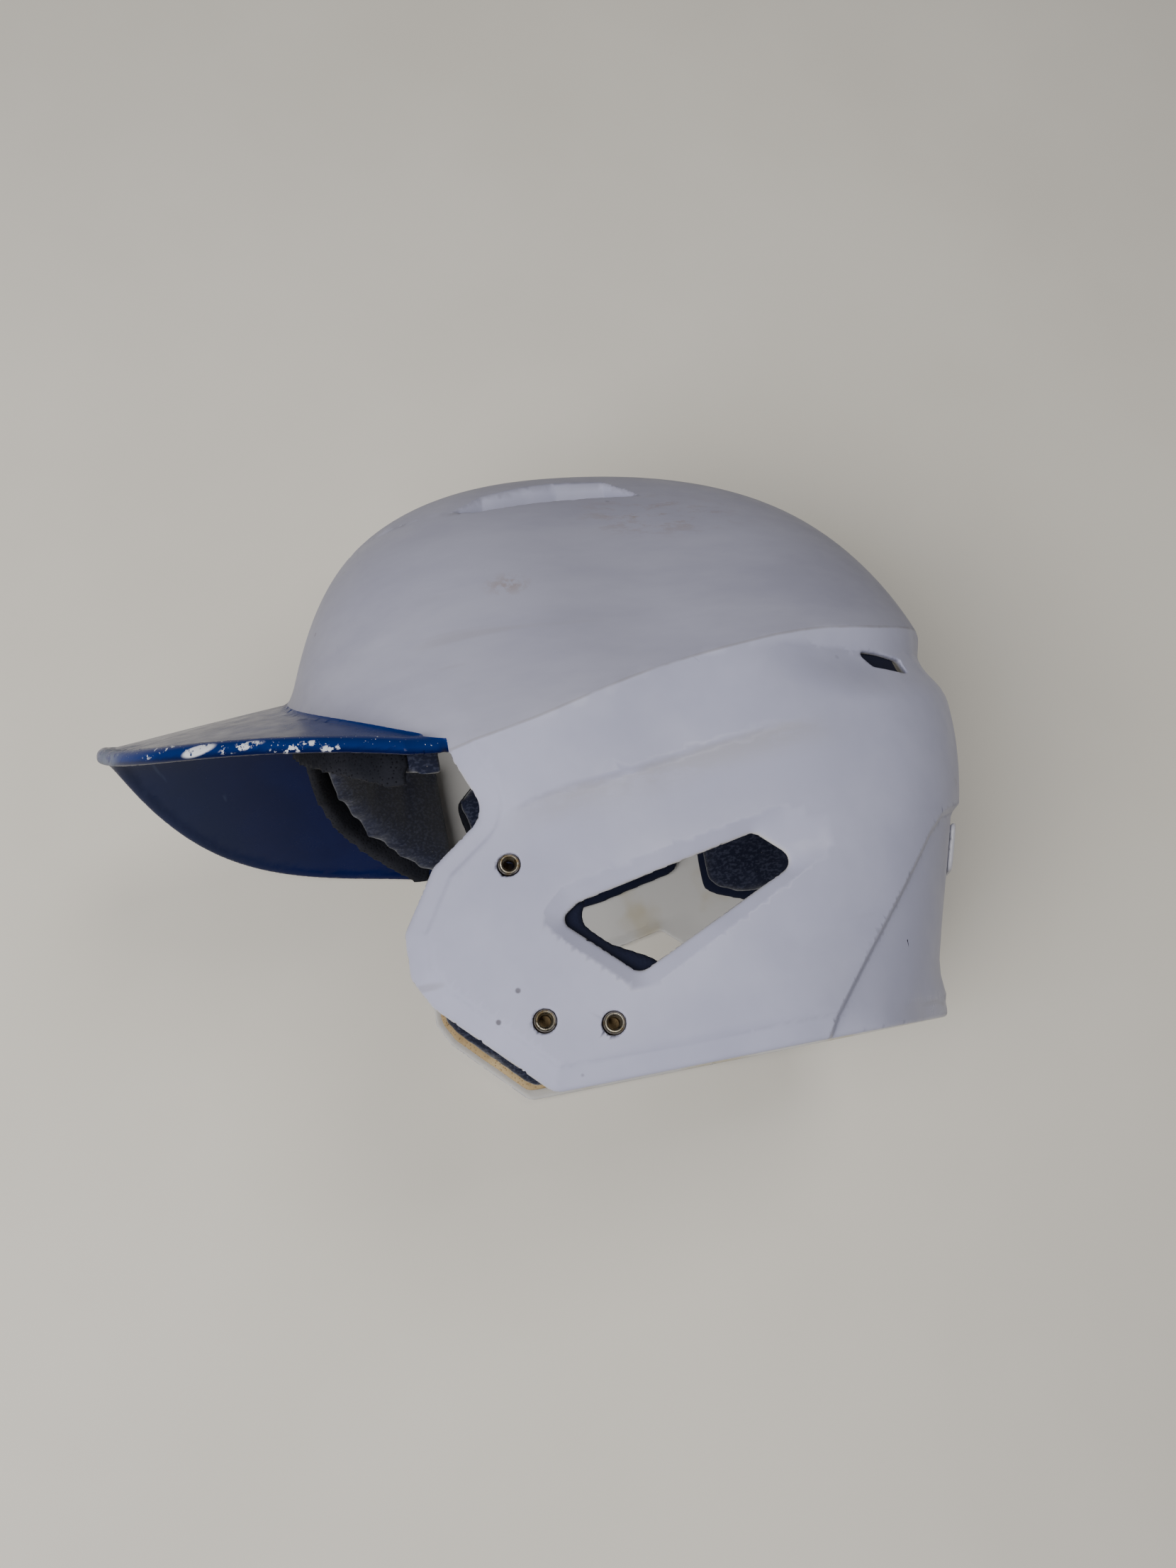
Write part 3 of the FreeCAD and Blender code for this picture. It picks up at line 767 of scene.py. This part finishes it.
def build_shell():
    """The moulding in two pieces: the bare white body, and the part that is painted blue."""
    points, normals, faces = skin(shell_distance, (0, -153, -4), (101, 154, 219), VOXEL, 0.06)
    x, y, z = points.T
    painted = np.maximum(z - visor_top(np.abs(x), y) - 1.2, np.maximum(94 - z, y + 31))
    points, normals, faces, below = divide(points, normals, faces, painted)
    x, y, z = points.T
    inner = ramp(-(head_distance(x, y, z) - steps(x, y, z)), 1.2, 2.2)
    crease = crease_line(y) - z
    # Painted shade and dirt: how much of a point lies in the band just below the crease line.
    crease_shade_and_dirt = ramp(crease, -1, 1) * (1 - ramp(crease, 2, 12)) * ramp(y, -22, 0) * (1 - ramp(y, 60, 95))
    body = mesh_piece("shell_body", points, normals, faces[~below], {
        "inner": inner,
        "crease": crease_shade_and_dirt * (1 - inner),
        "scoop": ramp(-steps(x, y, z), 0.3, 1.2) * ramp(z, 176, 182) * (1 - inner),
        "edge": (1 - ramp(np.minimum(outlines["face"](y, z), z), 5, 9)) * (1 - inner),
    })
    above_visor = z - visor_top(np.abs(x), y)
    past_rim = rim_distance(x, y)
    blue = mesh_piece("visor_skin", points, normals, faces[below], {
        "rim": np.hypot(np.minimum(past_rim + 1.4, 0), np.minimum(z - visor_top(x, y) - 0.2, 0)),
        "upper": ramp(above_visor, -2.6, -1.2),
        "bead": (1 - ramp(np.abs(past_rim + 4.6), 0.2, 0.8)) * ramp(above_visor, -0.6, 0),
    })
    finish_piece(body, ["shell"], "shell_plastic")
    finish_piece(blue, ["shell"], "shell_plastic", "visor")


def settled(piece):
    """Replaces the piece's mesh by what its modifiers make."""
    bpy.context.view_layer.update()
    graph = bpy.context.evaluated_depsgraph_get()
    mesh = bpy.data.meshes.new_from_object(piece.evaluated_get(graph))
    piece.modifiers.clear()
    piece.data = mesh


def coordinates(mesh):
    """The mesh's points in mm."""
    flat = np.zeros(len(mesh.vertices) * 3)
    mesh.vertices.foreach_get("co", flat)
    return flat.reshape(-1, 3) / MM


def place_points(mesh, points):
    mesh.vertices.foreach_set("co", (points * MM).ravel())
    mesh.update()


def from_node(node, name, voxel, shrink):
    """A new object with the CAD node's shape, remeshed evenly and drawn in a little."""
    piece = bpy.data.objects.new(name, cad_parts[node].data.copy())
    bpy.context.scene.collection.objects.link(piece)
    remesh = piece.modifiers.new("even", "REMESH")
    remesh.mode = "VOXEL"
    remesh.voxel_size = voxel * MM
    settled(piece)
    smooth = piece.modifiers.new("soften", "SMOOTH")
    smooth.factor = 0.5
    smooth.iterations = 4
    settled(piece)
    normals = np.zeros(len(piece.data.vertices) * 3)
    piece.data.vertex_normals.foreach_get("vector", normals)
    place_points(piece.data, coordinates(piece.data) - shrink * normals.reshape(-1, 3))
    return piece


def swell(piece, cap, pressure):
    """Lets pressure round the piece as cloth, with no point moving further than about cap."""
    start = coordinates(piece.data)
    cloth = piece.modifiers.new("pressure", "CLOTH")
    cloth.settings.use_pressure = True
    cloth.settings.uniform_pressure_force = pressure
    cloth.settings.effector_weights.gravity = 0
    cloth.settings.quality = 5
    cloth.point_cache.frame_start = 1
    cloth.point_cache.frame_end = 20
    for step in range(1, 21):
        bpy.context.scene.frame_set(step)
    settled(piece)
    bpy.context.scene.frame_set(1)
    move = coordinates(piece.data) - start
    length = np.maximum(np.linalg.norm(move, axis=1), 1e-9)
    place_points(piece.data, start + move * (cap * np.tanh(length / cap) / length)[:, None])


def seat(piece, inset):
    """Presses the back of a pad flat against what lies behind it, inset mm inside the head form."""
    points = coordinates(piece.data)
    for _ in range(2):
        depth = -head_distance(*points.T)
        short = np.maximum(inset - depth, 0)
        slope = gradient(head_distance, points, 0.2)
        slope /= np.maximum(np.linalg.norm(slope, axis=1), 1e-9)[:, None]
        points = points - slope * short[:, None]
    place_points(piece.data, points)


def mirror_copy(piece, name):
    """The same piece for the other side of the helmet."""
    mesh = piece.data.copy()
    mesh.transform(Matrix.Scale(-1, 4, (1, 0, 0)))
    mesh.flip_normals()
    copy = bpy.data.objects.new(name, mesh)
    bpy.context.scene.collection.objects.link(copy)
    return copy


# Inset of each base pad, as in the CAD model: the comfort pad starts 4.2 mm further in.
PADS = {"brow": 3.3, "crown": 3.3, "nape": 5.8, "temple_left": 3.3, "rear_left": 5.8, "jaw_left": 5.3}


def build_pads():
    """Every pad: a foam base, tan at the jaw and dark elsewhere, and a swollen comfort pad on it."""
    for place, inset in PADS.items():
        foam = from_node(f"{place}_base", f"{place}_foam", 1.6, 0.1)
        cover = from_node(f"{place}_pad", f"{place}_cushion", 4.0, 1.0)
        swell(cover, 3.0, 4.0)
        seat(cover, inset + 4.2)
        subdivide = cover.modifiers.new("fine", "SUBSURF")
        subdivide.levels = subdivide.render_levels = 1
        settled(cover)
        made = [(foam, f"{place}_base"), (cover, f"{place}_pad")]
        if place.endswith("left"):
            for piece, node in list(made):
                name = piece.name.replace("left", "right")
                made.append((mirror_copy(piece, name), node.replace("left", "right")))
        for piece, node in made:
            piece.data.shade_smooth()
            foam_slot = "jaw_foam" if node.startswith("jaw") else "base_foam"
            finish_piece(piece, [node], foam_slot if node.endswith("base") else "comfort_fabric")


def lathe(name, outline, around, place, sign):
    """A ring turned about the X axis from (x, radius) points in mm."""
    angles = np.linspace(0, math.tau, around, endpoint=False)
    rows = [[(sign * x, r * math.cos(t), r * math.sin(t)) for t in angles] for x, r in outline]
    points = np.array(rows).reshape(-1, 3) + place
    faces = []
    count = len(outline)
    for i in range(count):
        for j in range(around):
            a, b = i * around + j, i * around + (j + 1) % around
            c, d = (i + 1) % count * around + (j + 1) % around, (i + 1) % count * around + j
            faces.append((a, b, c, d) if sign < 0 else (d, c, b, a))
    mesh = bpy.data.meshes.new(name)
    mesh.from_pydata((points * MM).tolist(), [], faces)
    mesh.update()
    mesh.shade_smooth()
    mesh.set_sharp_from_angle(angle=math.radians(38))
    piece = bpy.data.objects.new(name, mesh)
    bpy.context.scene.collection.objects.link(piece)
    return piece


def build_nuts():
    """T-nuts: a flange inside, a barrel with a rolled lip, and a bore with thread grooves."""
    outline = [(0.0, 2.0), (0.0, 5.6), (0.25, 6.0), (0.75, 6.0), (1.0, 5.7), (1.0, 3.4), (1.5, 3.0)]
    outline += [(4.9, 3.0), (5.3, 2.9), (5.55, 2.6), (5.6, 2.35), (5.45, 2.05)]
    x = 5.2
    while x > 0.5:
        outline += [(x, 1.95), (x - 0.2, 1.7), (x - 0.35, 1.7), (x - 0.55, 1.95)]
        x -= 0.6
    for side, sign in (("left", 1), ("right", -1)):
        for place, (y, z) in T_NUTS.items():
            node = f"t_nut_{side}_{place}"
            low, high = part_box(node)
            start = (low.x if sign > 0 else high.x) / MM
            piece = lathe(f"{node}_turned", outline, 48, np.array([start, y, z]), sign)
            finish_piece(piece, [node], "nut_steel")


def build_badge():
    """The blank plate in the rear channel, bent to the shell, with rounded edges."""
    low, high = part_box("rear_badge")
    half, bottom, top = high.x / MM, low.z / MM, high.z / MM
    middle = (bottom + top) / 2

    def plate(x, y, z):
        depth = -head_distance(x, y, z)
        slab = np.abs(depth - 1.6) - 0.85
        across = np.abs(x) - half + 0.2
        tall = np.abs(z - middle) - (top - bottom) / 2 + 0.2
        outline = overlap(across, tall, 3.0)
        solid = overlap(slab, outline, 0.9)
        return np.maximum(solid, 65 - y)

    near = (0, low.y / MM - 3, bottom - 3)
    far = (half + 3, high.y / MM + 3, top + 3)
    points, normals, faces = skin(plate, near, far, 0.8, 0.1)
    piece = mesh_piece("rear_badge_plate", points, normals, faces, {})
    finish_piece(piece, ["rear_badge"], "badge_plastic")


def build_camera():
    """The camera, and its own axes in the helmet's frame."""
    right = Vector(CAMERA_RIGHT).normalized()
    up = Vector(CAMERA_UP)
    up = (up - right * up.dot(right)).normalized()
    back = right.cross(up)
    data = bpy.data.cameras.new("camera")
    data.sensor_width = 36
    data.lens = CAMERA_LENS
    data.clip_start = 0.01
    camera = bpy.data.objects.new("camera", data)
    rotation = Matrix((right, up, back)).transposed()
    camera.matrix_world = Matrix.Translation(CAMERA_PLACE) @ rotation.to_4x4()
    bpy.context.scene.collection.objects.link(camera)
    bpy.context.scene.camera = camera
    return right, up, back


def build_stage():
    """A pale table against the helmet's right side. From behind it is clear, so it hides nothing."""
    mesh = bpy.data.meshes.new("table")
    far = 3.0
    x = TABLE_X
    mesh.from_pydata([(x, -far, -far), (x, far, -far), (x, far, far), (x, -far, far)], [], [(0, 1, 2, 3)])
    table = bpy.data.objects.new("table", mesh)
    bpy.context.scene.collection.objects.link(table)
    paint = Paint("table_top", Specular_IOR_Level=0.35)
    cloud = paint.noise(5, 4, 0.55)
    base = paint.mix(paint.span(cloud, 0.3, 0.7), (0.68, 0.645, 0.575), (0.72, 0.685, 0.615))
    paint.set(Base_Color=base, Roughness=paint.span(cloud, 0.3, 0.7, 0.35, 0.5, False))
    tree = paint.material.node_tree
    side = paint.nodes.new("ShaderNodeNewGeometry").outputs["Backfacing"]
    clear = paint.nodes.new("ShaderNodeBsdfTransparent")
    choose = paint.nodes.new("ShaderNodeMixShader")
    output = paint.nodes["Material Output"]
    tree.links.new(side, choose.inputs[0])
    tree.links.new(paint.shader.outputs[0], choose.inputs[1])
    tree.links.new(clear.outputs[0], choose.inputs[2])
    tree.links.new(choose.outputs[0], output.inputs["Surface"])
    mesh.materials.append(paint.material)


def build_lights(right, up, back):
    """A pale room and large soft lamps on the camera's side."""
    world = bpy.data.worlds.new("room")
    world.use_nodes = True
    world.node_tree.nodes["Background"].inputs["Color"].default_value = ROOM_COLOUR
    world.node_tree.nodes["Background"].inputs["Strength"].default_value = ROOM_STRENGTH
    bpy.context.scene.world = world
    target = Vector((0, 0, 0.1))
    for number, ((nearer, higher, aside), size, power, colour) in enumerate(LAMPS):
        offset = back * nearer + up * higher + right * aside
        data = bpy.data.lights.new(f"lamp_{number}", "AREA")
        data.size = size
        data.energy = power
        data.color = colour
        lamp = bpy.data.objects.new(f"lamp_{number}", data)
        lamp.location = target + offset
        lamp.visible_glossy = number > 0
        lamp.rotation_euler = (-offset).to_track_quat("-Z", "Y").to_euler()
        bpy.context.scene.collection.objects.link(lamp)


build_shell()
build_pads()
build_nuts()
build_badge()
build_stage()
build_lights(*build_camera())
